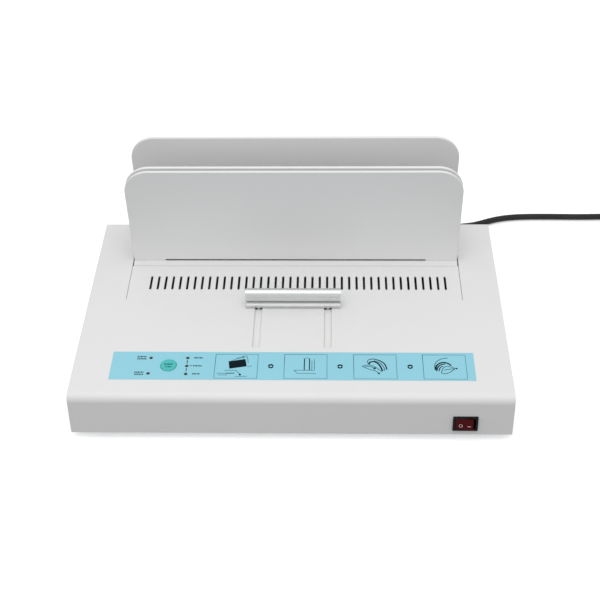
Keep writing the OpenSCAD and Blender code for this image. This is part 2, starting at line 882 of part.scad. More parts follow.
module at_plug() {
  translate(plug_at) rotate([0, 0, plug_turn]) rotate([-90, 0, 0]) children();
}

module plug_body() {
  color(black_plastic) at_plug() difference() {
    rotate_extrude() polygon([[0, 0], [5.6, 0], [6.6, 14], [13, 22], [plug_r, 27], [plug_r, 40],
                              [0, 40]]);
    for (s = [-1, 1]) translate([s * pin_pitch / 2, 0, 34]) cylinder(r = pin_r, h = 10);
  }
}

module plug_pins() {
  color("silver") at_plug() for (s = [-1, 1]) translate([s * pin_pitch / 2, 0, 34]) {
    cylinder(r = pin_r, h = pin_l + 6 - 1.5);
    translate([0, 0, pin_l + 6 - 1.5]) cylinder(r1 = pin_r, r2 = pin_r - 0.9, h = 1.5);
  }
}

// ---------- one line for each node ----------

top_cover();
chassis();
foot(-1, -1);  // foot_front_left
foot(1, -1);  // foot_front_right
foot(-1, 1);  // foot_rear_left
foot(1, 1);  // foot_rear_right
foot_screws();
cover_screws();
trough_ends();
front_guard_plate();
inner_plate();
plate_spacers();
plate_screws();
heater_pan();
insulation_board();
heating_element();
hot_plate();
heater_standoffs();
thermostat();
thermal_fuse();
guide_rod(-1);  // guide_rod_left
guide_rod(1);  // guide_rod_right
rod_brackets();
rod_screws();
control_board();
board_standoffs();
tact_switch();
status_leds();
timer_leds();
buzzer();
power_board();
power_standoffs();
relay();
filter_capacitor();
transformer();
terminal_block();
mains_wires();
control_label();
start_button();
switch_housing();
power_rocker();
switch_terminals();
carriage_arm(-1);  // carriage_arm_left
carriage_arm(1);  // carriage_arm_right
carriage_bar();
slide_bushings();
handle_posts();
handle();
handle_screws();
slot_shutter(-1);  // slot_shutter_left
slot_shutter(1);  // slot_shutter_right
clamp_plate();
clamp_plate_screws();
strain_relief();
cord_lead();
cord_coil();
cord_tail();
plug_body();
plug_pins();
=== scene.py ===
import math
import bpy
from mathutils import Matrix, Vector


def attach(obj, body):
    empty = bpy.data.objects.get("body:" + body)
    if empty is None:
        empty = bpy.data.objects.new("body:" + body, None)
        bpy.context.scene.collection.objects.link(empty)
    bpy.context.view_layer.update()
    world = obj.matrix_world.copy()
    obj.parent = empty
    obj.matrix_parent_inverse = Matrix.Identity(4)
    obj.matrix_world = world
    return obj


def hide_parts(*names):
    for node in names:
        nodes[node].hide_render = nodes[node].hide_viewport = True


# A desktop thermal binding machine. The CAD parts are the frame; the pieces below give them their looks.
# Places are in millimetres in the part's own frame, and mm turns them into metres.
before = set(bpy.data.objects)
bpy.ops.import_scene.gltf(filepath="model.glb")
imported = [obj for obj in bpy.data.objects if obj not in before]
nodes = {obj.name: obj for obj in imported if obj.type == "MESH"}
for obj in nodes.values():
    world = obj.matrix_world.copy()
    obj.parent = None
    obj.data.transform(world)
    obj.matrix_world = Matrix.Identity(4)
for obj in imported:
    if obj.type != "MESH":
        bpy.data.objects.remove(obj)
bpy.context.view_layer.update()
mm = 0.001
print("stage: frame loaded,", len(nodes), "nodes")


def setMode(mode):
    bpy.ops.object.mode_set(mode=mode)


def pickAll(action="SELECT"):
    bpy.ops.mesh.select_all(action=action)


def letGo():
    # an operator acts on all that is selected, so nothing stays selected between pieces
    if bpy.context.object and bpy.context.object.mode != "OBJECT":
        setMode("OBJECT")
    bpy.ops.object.select_all(action="DESELECT")


def addObject(name, data):
    made = bpy.data.objects.new(name, data)
    bpy.context.scene.collection.objects.link(made)
    return made


def hold(piece):
    letGo()
    piece.select_set(True)
    bpy.context.view_layer.objects.active = piece


cameraSettings = {
    "place": (37.523, -788.488, 782.155),
    "turn": -2.247,                     # degrees to the right of straight ahead
    "tilt": 42.608,                     # degrees below the horizon
    "roll": 1.398,
    "lens": 67.0,
}


def makeCamera(s):
    turn, tilt, roll = (math.radians(s[k]) for k in ("turn", "tilt", "roll"))
    ahead = Vector((math.sin(turn) * math.cos(tilt), math.cos(turn) * math.cos(tilt), -math.sin(tilt)))
    right = Vector((math.cos(turn), -math.sin(turn), 0))
    down = ahead.cross(right)
    rolledRight = math.cos(roll) * right + math.sin(roll) * down
    rolledDown = math.cos(roll) * down - math.sin(roll) * right
    camera = addObject("camera", bpy.data.cameras.new("camera"))
    camera.data.lens = s["lens"]
    camera.data.sensor_width = 36
    camera.data.clip_end = 20
    axes = Matrix((rolledRight, -rolledDown, -ahead)).transposed()
    camera.matrix_world = Matrix.Translation(Vector(s["place"]) * mm) @ axes.to_4x4()
    bpy.context.scene.camera = camera


makeCamera(cameraSettings)

# the mains cord repeats its route from the part's source
cordSettings = {
    "radius": 3.3,
    "lead": [
        (174, 112, 22), (174, 126, 22), (174, 140, 22), (174.2, 148, 21.3), (175.3, 156, 18.8),
        (177.8, 163.2, 15), (181.6, 169.4, 10.8), (186.8, 174.8, 7), (193.6, 179.4, 4.4),
        (202.4, 183.8, 3.4), (212.4, 188, 3.3), (224, 191.8, 3.3), (238, 194.3, 3.3),
        (254, 195.4, 3.3), (272, 195.6, 3.3), (292, 195.4, 3.3), (312, 195.2, 3.3),
        (334, 195.6, 3.3), (354, 196, 3.3), (375, 196, 3.3)],
    "coilMiddle": (392, 152),
    "outerRadius": 44,
    "innerRadius": 26.6,
    "lowerTurns": 2.4,
    "climbTurns": 0.4,
    "upperTurns": 2.45,
    "lowerHeight": 3.3,
    "upperHeight": 10.0,
    "pointsPerTurn": 20,
    "tail": [
        (436, 138, 9.8), (436, 127, 8.4), (435.2, 115, 6), (433, 103, 4.2), (429, 91.5, 3.5),
        (423, 80, 3.9), (416, 69.5, 5.8), (408, 60.5, 9), (400, 53, 12.6), (391.5, 46.4, 15.6),
        (383.5, 41, 17.6), (376, 36.6, 18.5)],
}


def coilPoints(s):
    # clockwise from the back, winding inwards on the table and back outwards on top of itself
    turns = s["lowerTurns"] + s["climbTurns"] + s["upperTurns"]
    steps = round(turns * s["pointsPerTurn"])
    band = s["outerRadius"] - s["innerRadius"]
    points = []
    for i in range(steps + 1):
        t = turns * i / steps
        inwards = min(t / s["lowerTurns"], 1)
        outwards = max(t - s["lowerTurns"] - s["climbTurns"], 0) / s["upperTurns"]
        climb = min(max((t - s["lowerTurns"]) / s["climbTurns"], 0), 1)
        climb = climb * climb * (3 - 2 * climb)
        radius = s["outerRadius"] - band * inwards + band * outwards
        height = s["lowerHeight"] + (s["upperHeight"] - s["lowerHeight"]) * climb
        angle = math.pi / 2 - 2 * math.pi * t
        points.append((s["coilMiddle"][0] + radius * math.cos(angle),
                       s["coilMiddle"][1] + radius * math.sin(angle), height))
    return points


def makeCord(s):
    line = bpy.data.curves.new("mains_cord", "CURVE")
    line.dimensions = "3D"
    line.bevel_depth = s["radius"] * mm
    line.bevel_resolution = 5
    line.resolution_u = 5
    line.use_fill_caps = True
    points = s["lead"] + coilPoints(s) + s["tail"]
    spline = line.splines.new("BEZIER")
    spline.bezier_points.add(len(points) - 1)
    for knot, point in zip(spline.bezier_points, points):
        knot.co = Vector(point) * mm
        knot.handle_left_type = knot.handle_right_type = "AUTO"
    return addObject("mains_cord", line)


mainsCord = makeCord(cordSettings)
print("stage: camera and cord")


def newGroup(name, inputs, outputs):
    # an input's kind follows from its value, and a place has none
    group = bpy.data.node_groups.new(name, "ShaderNodeTree")
    for label, value in inputs.items():
        kind = "Vector" if value is None else "Color" if isinstance(value, tuple) else "Float"
        socket = group.interface.new_socket(name=label, in_out="INPUT", socket_type="NodeSocket" + kind)
        if value is not None:
            socket.default_value = value
    for label in outputs:
        kind = "Color" if label == "Color" else "Float"
        group.interface.new_socket(name=label, in_out="OUTPUT", socket_type="NodeSocket" + kind)
    return group, group.nodes.new("NodeGroupInput"), group.nodes.new("NodeGroupOutput")


def setSocket(tree, socket, value):
    if isinstance(value, bpy.types.NodeSocket):
        tree.links.new(value, socket)
    elif isinstance(value, tuple) and len(value) == 3:
        socket.default_value = (*value, 1)
    else:
        socket.default_value = value


def noise(tree, vector, scale, detail=2.0, roughness=0.5):
    made = tree.nodes.new("ShaderNodeTexNoise")
    tree.links.new(vector, made.inputs["Vector"])
    setSocket(tree, made.inputs["Scale"], scale)
    made.inputs["Detail"].default_value = detail
    made.inputs["Roughness"].default_value = roughness
    return made.outputs["Fac"]


def spread(tree, value, fromLow, fromHigh, toLow=0.0, toHigh=1.0):
    made = tree.nodes.new("ShaderNodeMapRange")
    for label, given in (("Value", value), ("From Min", fromLow), ("From Max", fromHigh),
                         ("To Min", toLow), ("To Max", toHigh)):
        setSocket(tree, made.inputs[label], given)
    return made.outputs["Result"]


def sums(tree, operation, a, b):
    made = tree.nodes.new("ShaderNodeMath")
    made.operation = operation
    setSocket(tree, made.inputs[0], a)
    setSocket(tree, made.inputs[1], b)
    return made.outputs[0]


def blendColor(tree, factor, a, b, mode="MIX"):
    made = tree.nodes.new("ShaderNodeMix")
    made.data_type = "RGBA"
    made.blend_type = mode
    setSocket(tree, made.inputs[0], factor)
    setSocket(tree, made.inputs[6], a)
    setSocket(tree, made.inputs[7], b)
    return made.outputs[2]


def stretch(tree, vector, scale):
    made = tree.nodes.new("ShaderNodeMapping")
    tree.links.new(vector, made.inputs["Vector"])
    made.inputs["Scale"].default_value = scale
    return made.outputs["Vector"]


def makeCoatGroup():
    # powder coat or moulded skin: fine grain, slow drift of tone and gloss
    group, start, end = newGroup("coat_grain", {
        "Vector": None, "Tone": (0.7, 0.7, 0.7, 1), "Grain": 1400, "Drift": 0.04, "Gloss": 0.45},
        ("Color", "Roughness", "Height"))
    vector = start.outputs["Vector"]
    fine = noise(group, vector, start.outputs["Grain"], 3.0, 0.6)
    slow = noise(group, vector, 9.0, 3.0, 0.55)
    darker = blendColor(group, 1.0, start.outputs["Tone"], (0.55, 0.55, 0.56), "MULTIPLY")
    share = sums(group, "MULTIPLY", spread(group, slow, 0.35, 0.65), start.outputs["Drift"])
    speck = sums(group, "MULTIPLY", spread(group, fine, 0.55, 0.75), start.outputs["Drift"])
    color = blendColor(group, sums(group, "ADD", share, speck), start.outputs["Tone"], darker)
    group.links.new(color, end.inputs["Color"])
    gloss = sums(group, "ADD", start.outputs["Gloss"], spread(group, slow, 0.3, 0.7, -0.04, 0.05))
    gloss = sums(group, "ADD", gloss, spread(group, fine, 0.3, 0.7, -0.02, 0.02))
    group.links.new(gloss, end.inputs["Roughness"])
    group.links.new(fine, end.inputs["Height"])
    return group


def makeDrawnGroup():
    # drawn, extruded or brushed metal: long lines; the material stretches the vector along them
    group, start, end = newGroup("drawn_lines", {
        "Vector": None, "Tone": (0.8, 0.8, 0.8, 1), "Contrast": 0.25, "Gloss": 0.3},
        ("Color", "Roughness", "Height"))
    vector = start.outputs["Vector"]
    lines = noise(group, vector, 1.0, 4.0, 0.65)
    bands = noise(group, vector, 0.18, 2.0, 0.5)
    darker = blendColor(group, 1.0, start.outputs["Tone"], (0.62, 0.62, 0.63), "MULTIPLY")
    share = sums(group, "MULTIPLY", spread(group, lines, 0.35, 0.65), start.outputs["Contrast"])
    group.links.new(blendColor(group, share, start.outputs["Tone"], darker), end.inputs["Color"])
    gloss = sums(group, "ADD", start.outputs["Gloss"], spread(group, lines, 0.3, 0.7, -0.05, 0.06))
    gloss = sums(group, "ADD", gloss, spread(group, bands, 0.3, 0.7, -0.03, 0.04))
    group.links.new(gloss, end.inputs["Roughness"])
    group.links.new(lines, end.inputs["Height"])
    return group


def makeHandlingGroup():
    # faint dust and finger marks on top of a finish
    group, start, end = newGroup("handling", {
        "Vector": None, "Color": (0.5, 0.5, 0.5, 1), "Roughness": 0.5,
        "Dust": (0.6, 0.58, 0.55, 1), "Amount": 0.1}, ("Color", "Roughness"))
    vector = start.outputs["Vector"]
    cloud = spread(group, noise(group, vector, 26.0, 5.0, 0.7), 0.45, 0.75)
    grit = spread(group, noise(group, vector, 900.0, 1.0, 0.5), 0.66, 0.74)
    share = sums(group, "MULTIPLY", sums(group, "ADD", cloud, grit), start.outputs["Amount"])
    group.links.new(blendColor(group, share, start.outputs["Color"], start.outputs["Dust"]),
                    end.inputs["Color"])
    rougher = sums(group, "MULTIPLY", cloud, start.outputs["Amount"])
    group.links.new(sums(group, "ADD", start.outputs["Roughness"], rougher), end.inputs["Roughness"])
    return group


coatGrain = makeCoatGroup()
drawnLines = makeDrawnGroup()
handling = makeHandlingGroup()

finishes = {}
fineRelief, coarseRelief = 0.0001, 0.0002      # how deep the bump of a finish may reach, in metres
alongLines = 250                               # drawn lines are this many times longer than wide


def newFinish(name):
    made = bpy.data.materials.new(name)
    made.use_nodes = True
    finishes[name] = made
    tree = made.node_tree
    place = tree.nodes.new("ShaderNodeTexCoord").outputs["Object"]
    return tree, tree.nodes["Principled BSDF"], place


def useGroup(tree, group, values):
    made = tree.nodes.new("ShaderNodeGroup")
    made.node_tree = group
    for label, value in values.items():
        setSocket(tree, made.inputs[label], value)
    return made.outputs


def handled(tree, shader, place, color, roughness, amount):
    # dust and finger marks go over a finish on its way to the shader
    used = useGroup(tree, handling, {"Vector": place, "Color": color, "Roughness": roughness,
                                     "Amount": amount})
    tree.links.new(used["Color"], shader.inputs["Base Color"])
    tree.links.new(used["Roughness"], shader.inputs["Roughness"])


def emboss(tree, shader, height, strength, distance):
    bump = tree.nodes.new("ShaderNodeBump")
    bump.inputs["Strength"].default_value = strength
    bump.inputs["Distance"].default_value = distance
    tree.links.new(height, bump.inputs["Height"])
    tree.links.new(bump.outputs["Normal"], shader.inputs["Normal"])


def coated(name, tone, gloss, grain=1400, drift=0.05, depth=0.08, dust=0.03, shine=0.5):
    # paint, lacquer and moulded plastic
    tree, shader, place = newFinish(name)
    coat = useGroup(tree, coatGrain, {"Vector": place, "Tone": tone, "Grain": grain,
                                      "Drift": drift, "Gloss": gloss})
    handled(tree, shader, place, coat["Color"], coat["Roughness"], dust)
    emboss(tree, shader, coat["Height"], depth, coarseRelief)
    shader.inputs["Specular IOR Level"].default_value = shine


def metal(name, tone, gloss, along="X", contrast=0.25, depth=0.06, fine=700, dust=0.02):
    tree, shader, place = newFinish(name)
    scale = [fine, fine, fine]
    scale["XYZ".index(along)] = fine / alongLines
    lines = useGroup(tree, drawnLines, {"Vector": stretch(tree, place, scale), "Tone": tone,
                                        "Contrast": contrast, "Gloss": gloss})
    handled(tree, shader, place, lines["Color"], lines["Roughness"], dust)
    shader.inputs["Metallic"].default_value = 1.0
    emboss(tree, shader, lines["Height"], depth, fineRelief)


def zincSheet(name, tone):
    # galvanised sheet: flat crystals of slightly different brightness
    tree, shader, place = newFinish(name)
    cells = tree.nodes.new("ShaderNodeTexVoronoi")
    cells.inputs["Scale"].default_value = 130
    tree.links.new(place, cells.inputs["Vector"])
    flake = tree.nodes.new("ShaderNodeSeparateColor")
    tree.links.new(cells.outputs["Color"], flake.inputs[0])
    patch = spread(tree, flake.outputs[0], 0.0, 1.0, 0.0, 0.22)
    color = blendColor(tree, patch, tone, tuple(0.7 * c for c in tone))
    rough = spread(tree, flake.outputs[1], 0.0, 1.0, 0.34, 0.48)
    handled(tree, shader, place, color, rough, 0.05)
    shader.inputs["Metallic"].default_value = 0.9
    emboss(tree, shader, flake.outputs[2], 0.03, coarseRelief)


def circuitLaminate(name):
    # solder mask with slightly raised, slightly lighter tracks
    tree, shader, place = newFinish(name)
    tracks = tree.nodes.new("ShaderNodeTexBrick")
    tracks.offset = 0.37
    tracks.squash = 0.6
    tree.links.new(place, tracks.inputs["Vector"])
    for label, value in (("Scale", 190.0), ("Mortar Size", 0.09), ("Brick Width", 1.4),
                         ("Row Height", 0.45)):
        tracks.inputs[label].default_value = value
    color = blendColor(tree, tracks.outputs["Fac"], (0.018, 0.12, 0.045), (0.035, 0.2, 0.075))
    handled(tree, shader, place, color, 0.35, 0.05)
    emboss(tree, shader, tracks.outputs["Fac"], 0.3, fineRelief)


def fibrous(name, tone, darker, rough, scale, stretched=(1, 1, 1)):
    # insulation board, mica and other pressed sheets
    tree, shader, place = newFinish(name)
    strands = noise(tree, stretch(tree, place, stretched), scale, 6.0, 0.75)
    color = blendColor(tree, spread(tree, strands, 0.35, 0.65), tone, darker)
    tree.links.new(color, shader.inputs["Base Color"])
    tree.links.new(spread(tree, strands, 0.3, 0.7, rough - 0.08, rough + 0.08),
                   shader.inputs["Roughness"])
    emboss(tree, shader, strands, 0.5, 2 * coarseRelief)


coated("cover_paint", (0.735, 0.735, 0.735), 0.42, grain=1500, drift=0.03, depth=0.10, dust=0.012)
coated("plate_paint", (0.77, 0.77, 0.77), 0.36, grain=1100, drift=0.02, depth=0.06, dust=0.01)
coated("shutter_plastic", (0.78, 0.78, 0.77), 0.4, grain=900, drift=0.04, dust=0.04)
coated("label_film", (0.27, 0.60, 0.71), 0.4, grain=500, drift=0.05, depth=0.05, dust=0.01, shine=0.3)
coated("label_ink", (0.004, 0.012, 0.018), 0.6, grain=900, drift=0.2, depth=0.05, dust=0, shine=0.05)
coated("label_fine_ink", (0.03, 0.12, 0.16), 0.6, grain=900, drift=0.2, depth=0.05, dust=0, shine=0.05)
coated("button_green", (0.065, 0.48, 0.46), 0.42, grain=700, drift=0.06, depth=0.05, shine=0.25)
coated("button_ink", (0.004, 0.06, 0.068), 0.6, grain=900, drift=0.1, depth=0.05, dust=0, shine=0.05)
coated("switch_black", (0.008, 0.008, 0.008), 0.5, grain=1600, drift=0.3, depth=0.12, dust=0.01,
       shine=0.1)
coated("rocker_red", (0.085, 0.003, 0.006), 0.36, grain=500, drift=0.2, depth=0.04, dust=0.004,
       shine=0.07)
coated("legend_white", (0.78, 0.76, 0.74), 0.4, grain=900, drift=0.06, depth=0.04)
coated("status_lens", (0.024, 0.010, 0.013), 0.2, grain=300, drift=0.1, depth=0.02, dust=0, shine=0.35)
coated("timer_lens", (0.010, 0.020, 0.016), 0.2, grain=300, drift=0.1, depth=0.02, dust=0, shine=0.35)
coated("foot_rubber", (0.02, 0.02, 0.021), 0.72, grain=1200, drift=0.3, depth=0.25, dust=0.12)
coated("cord_jacket", (0.012, 0.012, 0.013), 0.46, grain=800, drift=0.3, depth=0.12, dust=0.03,
       shine=0.3)
coated("boot_plastic", (0.018, 0.018, 0.019), 0.5, grain=1300, drift=0.3, depth=0.15, dust=0.05)
coated("plug_plastic", (0.018, 0.018, 0.019), 0.45, grain=1100, drift=0.3, depth=0.15, dust=0.04)
coated("small_plastic", (0.02, 0.02, 0.02), 0.5, grain=1300, drift=0.2, dust=0.06)
coated("relay_case", (0.02, 0.09, 0.32), 0.4, grain=1000, drift=0.1, dust=0.05)
coated("capacitor_case", (0.62, 0.42, 0.05), 0.35, grain=900, drift=0.08, dust=0.05)
coated("terminal_plastic", (0.66, 0.63, 0.52), 0.45, grain=1000, drift=0.08, dust=0.05)
coated("wire_insulation", (0.13, 0.045, 0.018), 0.4, grain=900, drift=0.15, dust=0.04)
coated("thermal_case", (0.55, 0.52, 0.44), 0.6, grain=700, drift=0.2, depth=0.2, dust=0.05)
metal("handle_aluminium", (0.72, 0.725, 0.725), 0.4, "X", contrast=0.16, depth=0.03, fine=3600)
metal("bar_aluminium", (0.74, 0.75, 0.76), 0.34, "X", contrast=0.35, fine=600)
metal("rod_chrome", (0.78, 0.79, 0.80), 0.12, "Z", contrast=0.12, fine=900)
metal("bushing_bronze", (0.52, 0.33, 0.13), 0.42, "Y", contrast=0.4, fine=500)
metal("fastener_steel", (0.60, 0.60, 0.61), 0.28, "Z", contrast=0.2, fine=1100)
metal("pin_metal", (0.72, 0.70, 0.66), 0.2, "Z", contrast=0.15, fine=900)
metal("terminal_brass", (0.66, 0.60, 0.42), 0.3, "Y", contrast=0.2, fine=900)
metal("transformer_core", (0.25, 0.24, 0.23), 0.45, "X", contrast=0.6, depth=0.3, fine=1400)
zincSheet("zinc_sheet", (0.58, 0.60, 0.62))
circuitLaminate("board_laminate")
fibrous("insulation_fibre", (0.66, 0.62, 0.54), (0.48, 0.44, 0.37), 0.85, 260.0)
fibrous("mica_sheet", (0.34, 0.22, 0.11), (0.2, 0.12, 0.06), 0.35, 60.0, (1, 6, 6))
print("stage: materials,", len(finishes))


def finish(piece, body, slot, finishName, *stoodFor):
    piece.data.materials.clear()
    piece.data.materials.append(finishes[finishName])
    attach(piece, body)
    if stoodFor:
        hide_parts(*stoodFor)
    letGo()
    return piece


def named(piece, name):
    piece.name = piece.data.name = name
    return piece


def settle(piece):
    # its place goes into its mesh, so that the object stays at the origin
    hold(piece)
    bpy.ops.object.transform_apply(location=True, rotation=True, scale=True)
    return piece


def shadeByAngle(piece, angle=32):
    hold(piece)
    bpy.ops.object.shade_smooth_by_angle(angle=math.radians(angle))
    steady = piece.modifiers.new("flat faces lead", "WEIGHTED_NORMAL")
    steady.keep_sharp = True
    bpy.ops.object.modifier_apply(modifier=steady.name)
    letGo()
    return piece


def softenEdges(piece, width, segments=3, angle=32):
    hold(piece)
    soft = piece.modifiers.new("soft edges", "BEVEL")
    soft.width = width * mm
    soft.segments = segments
    soft.limit_method = "ANGLE"
    soft.angle_limit = math.radians(angle)
    bpy.ops.object.modifier_apply(modifier=soft.name)
    letGo()
    return piece


def softenAbove(piece, width, segments, height, angle=32):
    # rounds only the sharp edges above a height, where a long edge is cut in two
    hold(piece)
    setMode("EDIT")
    bpy.ops.mesh.select_mode(type="EDGE")
    pickAll()
    bpy.ops.mesh.bisect(plane_co=(0, 0, height * mm), plane_no=(0, 0, 1))
    pickAll("DESELECT")
    bpy.ops.mesh.edges_select_sharp(sharpness=math.radians(angle))
    setMode("OBJECT")
    points = piece.data.vertices
    for edge in piece.data.edges:
        low = min(points[k].co.z for k in edge.vertices)
        edge.select = edge.select and low > (height - 0.01) * mm
    setMode("EDIT")
    bpy.ops.mesh.bevel(offset=width * mm, segments=segments, clamp_overlap=False)
    setMode("OBJECT")
    letGo()


def refine(node, name, width, segments=2, above=None):
    # a copy of a CAD part, its loose triangles merged into clean faces, its edges softened
    piece = addObject(name, nodes[node].data.copy())
    piece.data.name = name
    hold(piece)
    if piece.data.has_custom_normals:
        bpy.ops.mesh.customdata_custom_splitnormals_clear()
    setMode("EDIT")
    pickAll()
    bpy.ops.mesh.remove_doubles(threshold=0.000002)
    bpy.ops.mesh.dissolve_limited(angle_limit=math.radians(0.6))
    setMode("OBJECT")
    if above is not None:
        softenAbove(piece, width, segments, above)
    elif width:
        softenEdges(piece, width, segments)
    return shadeByAngle(piece)


def block(name, low, high):
    letGo()
    size = [(b - a) * mm for a, b in zip(low, high)]
    middle = [(a + b) / 2 * mm for a, b in zip(low, high)]
    bpy.ops.mesh.primitive_cube_add(size=1, location=middle, scale=size)
    return settle(named(bpy.context.object, name))


def carve(piece, cutter):
    hold(piece)
    cut = piece.modifiers.new("cut", "BOOLEAN")
    cut.operation = "DIFFERENCE"
    cut.solver = "EXACT"
    cut.object = cutter
    bpy.ops.object.modifier_apply(modifier=cut.name)
    bpy.data.objects.remove(cutter)
    letGo()


def copyOf(piece, name, matrix):
    made = addObject(name, piece.data.copy())
    made.matrix_world = matrix
    return settle(made)


def joined(pieces, name):
    letGo()
    for piece in pieces:
        piece.select_set(True)
    bpy.context.view_layer.objects.active = pieces[0]
    if len(pieces) > 1:
        bpy.ops.object.join()
    return named(bpy.context.object, name)


def pointAt(place):
    # a plane merged to one point, which stays selected in edit mode
    letGo()
    bpy.ops.mesh.primitive_plane_add(size=0.001, location=Vector(place) * mm)
    settle(bpy.context.object)
    setMode("EDIT")
    bpy.ops.mesh.select_mode(type="VERT")
    pickAll()
    bpy.ops.mesh.merge(type="CENTER")


def trace(name, outline):
    # one point, extruded from corner to corner
    pointAt(outline[0])
    for a, b in zip(outline, outline[1:]):
        step = (Vector(b) - Vector(a)) * mm
        bpy.ops.mesh.extrude_region_move(TRANSFORM_OT_translate={"value": step})
    return named(bpy.context.object, name)


def turned(name, outline, steps=40):
    # an outline of (radius, height) pairs, spun about Z
    piece = trace(name, [(r, 0, z) for r, z in outline])
    pickAll()
    bpy.ops.mesh.spin(steps=steps, angle=2 * math.pi, center=(0, 0, 0), axis=(0, 0, 1))
    pickAll()
    bpy.ops.mesh.remove_doubles(threshold=0.000003)
    bpy.ops.mesh.normals_make_consistent(inside=False)
    setMode("OBJECT")
    return piece


def placed(at, axis="Z", turn=0):
    # the matrix that takes a piece made about Z to its place, with Z along the axis given
    way = {"Z": Matrix.Identity(4), "-Z": Matrix.Rotation(math.pi, 4, "X"),
           "X": Matrix.Rotation(math.pi / 2, 4, "Y"), "-X": Matrix.Rotation(-math.pi / 2, 4, "Y"),
           "Y": Matrix.Rotation(-math.pi / 2, 4, "X"), "-Y": Matrix.Rotation(math.pi / 2, 4, "X")}[axis]
    return Matrix.Translation(Vector(at) * mm) @ way @ Matrix.Rotation(math.radians(turn), 4, "Z")


def arc(middle, radius, start, stop, steps):
    angles = [math.radians(start + (stop - start) * i / steps) for i in range(steps + 1)]
    return [(middle[0] + radius * math.cos(a), middle[1] + radius * math.sin(a)) for a in angles]


bodySettings = {"coverEdge": 0.22, "chassisEdge": 0.2, "troughEdge": 0.15, "plateEdge": 0.9,
                "plateRimFrom": 47}

finish(refine("top_cover", "cover_shell", bodySettings["coverEdge"]),
       "base", "cover_paint", "cover_paint", "top_cover")
finish(refine("chassis", "chassis_tray", bodySettings["chassisEdge"]),
       "base", "sheet_steel", "zinc_sheet", "chassis")
finish(refine("trough_ends", "trough_end_walls", bodySettings["troughEdge"]),
       "base", "sheet_steel", "zinc_sheet", "trough_ends")
for node, name, body in (("front_guard_plate", "guard_panel", "base"),
                         ("inner_plate", "inner_panel", "base"),
                         ("clamp_plate", "clamp_panel", "carriage")):
    finish(refine(node, name, bodySettings["plateEdge"], 4, above=bodySettings["plateRimFrom"]),
           body, "plate_paint", "plate_paint", node)
print("stage: cover and plates")


screwSettings = {"radius": 3.2, "height": 1.3, "recess": 0.75, "arm": 1.9, "slit": 0.55}


def makeScrewHead(s):
    # a low pan head with a cross recess, standing on z = 0
    r, h = s["radius"], s["height"]
    head = turned("screw_head", [(0, 0), (r, 0), (r, 0.35 * h), (0.93 * r, 0.68 * h),
                                 (0.78 * r, 0.88 * h), (0.5 * r, 0.98 * h), (0, h)], 28)
    for name, x, y in (("slit_a", s["arm"], s["slit"] / 2), ("slit_b", s["slit"] / 2, s["arm"])):
        carve(head, block(name, (-x, -y, h - s["recess"]), (x, y, h + 1)))
    return shadeByAngle(head, 30)


screwHead = makeScrewHead(screwSettings)


def screwSet(name, body, node, spots, depth, shankRadius=1.5):
    # the heads of one node's screws, each with its shank
    shank = turned("shank", [(0, 0), (shankRadius, 0), (shankRadius, -depth + 0.8),
                             (0.5 * shankRadius, -depth), (0, -depth)], 16)
    parts = []
    for i, (at, axis, scale) in enumerate(spots):
        where = placed(at, axis, 17 + 41 * i)
        parts.append(copyOf(screwHead, "head", where @ Matrix.Scale(scale, 4)))
        parts.append(copyOf(shank, "stem", where))
    bpy.data.objects.remove(shank)
    made = shadeByAngle(joined(parts, name), 30)
    finish(made, body, "fastener_steel", "fastener_steel", node)


screwSet("cover_screw_set", "base", "cover_screws",
         [((s * 200, y, 15.2), "X" if s > 0 else "-X", 1) for s in (-1, 1) for y in (-90, 90)], 6)
screwSet("foot_screw_set", "base", "foot_screws",
         [((x, y, 3), "-Z", 1) for x in (-170, 170) for y in (-98, 98)], 8.7)
screwSet("rod_screw_set", "base", "rod_screws",
         [((s * 156, 126, 16), "Y", 1) for s in (-1, 1)]
         + [((s * 156, -61.2, 16), "-Y", 0.93) for s in (-1, 1)], 9)
screwSet("plate_screw_set", "base", "plate_screws",
         [((s * x, 67.4, 27.5), "-Y", 0.93) for s in (-1, 1) for x in (136, 145)], 12.5)
screwSet("handle_screw_set", "carriage", "handle_screws",
         [((s * 33.4, 1, 13), "-Z", 0.93) for s in (-1, 1)], 45)
bpy.data.objects.remove(screwHead)
print("stage: screws")


footSettings = {"places": {"foot_front_left": (-170, -98), "foot_front_right": (170, -98),
                           "foot_rear_left": (-170, 98), "foot_rear_right": (170, 98)}}


def makeFoot():
    return shadeByAngle(turned("foot", [
        (1.6, 8), (1.6, 3), (4, 3), (4, 0.5), (4.3, 0.15), (4.9, 0), (7.7, 0), (8.2, 0.15),
        (8.5, 0.6), (8.75, 1.9), (8.45, 2.2), (8.45, 2.7), (8.85, 3), (9.7, 7.1), (9.65, 7.7),
        (9.3, 8), (1.6, 8)], 48), 40)


footShape = makeFoot()
for footNode, (x, y) in footSettings["places"].items():
    finish(copyOf(footShape, footNode + "_pad", placed((x, y, 0))),
           "base", "foot_rubber", "foot_rubber", footNode)
bpy.data.objects.remove(footShape)


handleSettings = {
    "halfLength": 45.5, "base": 49, "beadRadius": 4.8, "beadY": 2.2, "beadZ": 63.2,
    "webFront": -1.9, "webBack": 6.3, "flangeFront": -3.2, "flangeBack": 7.4, "flangeTop": 52.3,
    "grooveLow": 54.5, "grooveHigh": 56.8, "grooveDepth": 2.1, "neckZ": 59.9, "neckIn": 0.5,
    "corner": 0.3, "smallEdge": 0.15,
}


